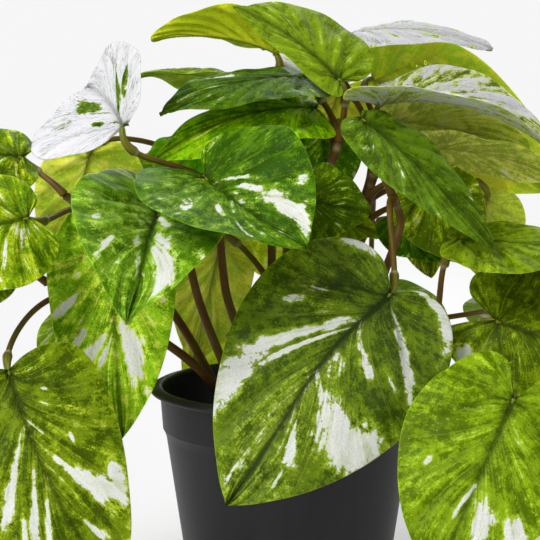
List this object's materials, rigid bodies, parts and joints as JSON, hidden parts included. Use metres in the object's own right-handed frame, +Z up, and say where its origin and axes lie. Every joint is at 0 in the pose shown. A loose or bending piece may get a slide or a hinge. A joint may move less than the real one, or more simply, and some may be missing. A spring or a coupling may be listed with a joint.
{
  "type": "potted pothos plant",
  "caption": "Trailing pothos with heart-shaped, white and lime variegated leaves on brown stalks, standing in a tapered black nursery pot.",
  "frame": {"origin": "centre of the pot's base, on the surface that it stands on", "axes": "+Z up through the pot, +Y towards the back of the plant, +X towards its right seen from the front"},
  "size_m": [0.321, 0.2523, 0.2684],
  "materials": {
    "black_plastic": "near-black moulded polypropylene with a low satin sheen",
    "potting_soil": "dark, crumbly bark and peat mix, fully matt",
    "stem": "brown to olive green, smooth, with a soft sheen and a paler ring at each joint",
    "leaf": "semi-gloss green with cream and lime variegation and fine pale veins, yellow-green underneath"
  },
  "bodies": {
    "root": {"pot": "black_plastic", "soil": "potting_soil", "vine_left_low": "stem", "vine_left_front": "stem", "vine_left": "stem", "vine_centre_left": "stem", "vine_centre": "stem", "vine_centre_back": "stem", "vine_right_front": "stem", "vine_right_low": "stem", "vine_right": "stem", "vine_back_right": "stem", "vine_back_left": "stem", "vine_back": "stem", "leaf_01": "leaf", "leaf_02": "leaf", "leaf_03": "leaf", "leaf_04": "leaf", "leaf_05": "leaf", "leaf_06": "leaf", "leaf_07": "leaf", "leaf_08": "leaf", "leaf_09": "leaf", "leaf_10": "leaf", "leaf_11": "leaf", "leaf_12": "leaf", "leaf_13": "leaf", "leaf_14": "leaf", "leaf_15": "leaf", "leaf_16": "leaf", "leaf_17": "leaf", "leaf_18": "leaf", "leaf_19": "leaf", "leaf_20": "leaf", "leaf_21": "leaf", "leaf_22": "leaf", "leaf_23": "leaf", "leaf_24": "leaf", "leaf_25": "leaf", "leaf_26": "leaf", "leaf_27": "leaf", "leaf_28": "leaf", "leaf_29": "leaf", "leaf_30": "leaf", "leaf_31": "leaf", "leaf_32": "leaf", "leaf_33": "leaf", "leaf_34": "leaf", "leaf_35": "leaf", "leaf_36": "leaf", "leaf_37": "leaf", "leaf_38": "leaf", "leaf_39": "leaf", "leaf_40": "leaf", "leaf_41": "leaf", "leaf_42": "leaf", "leaf_43": "leaf", "leaf_44": "leaf", "leaf_45": "leaf", "leaf_46": "leaf"}
  },
  "joints": []
}
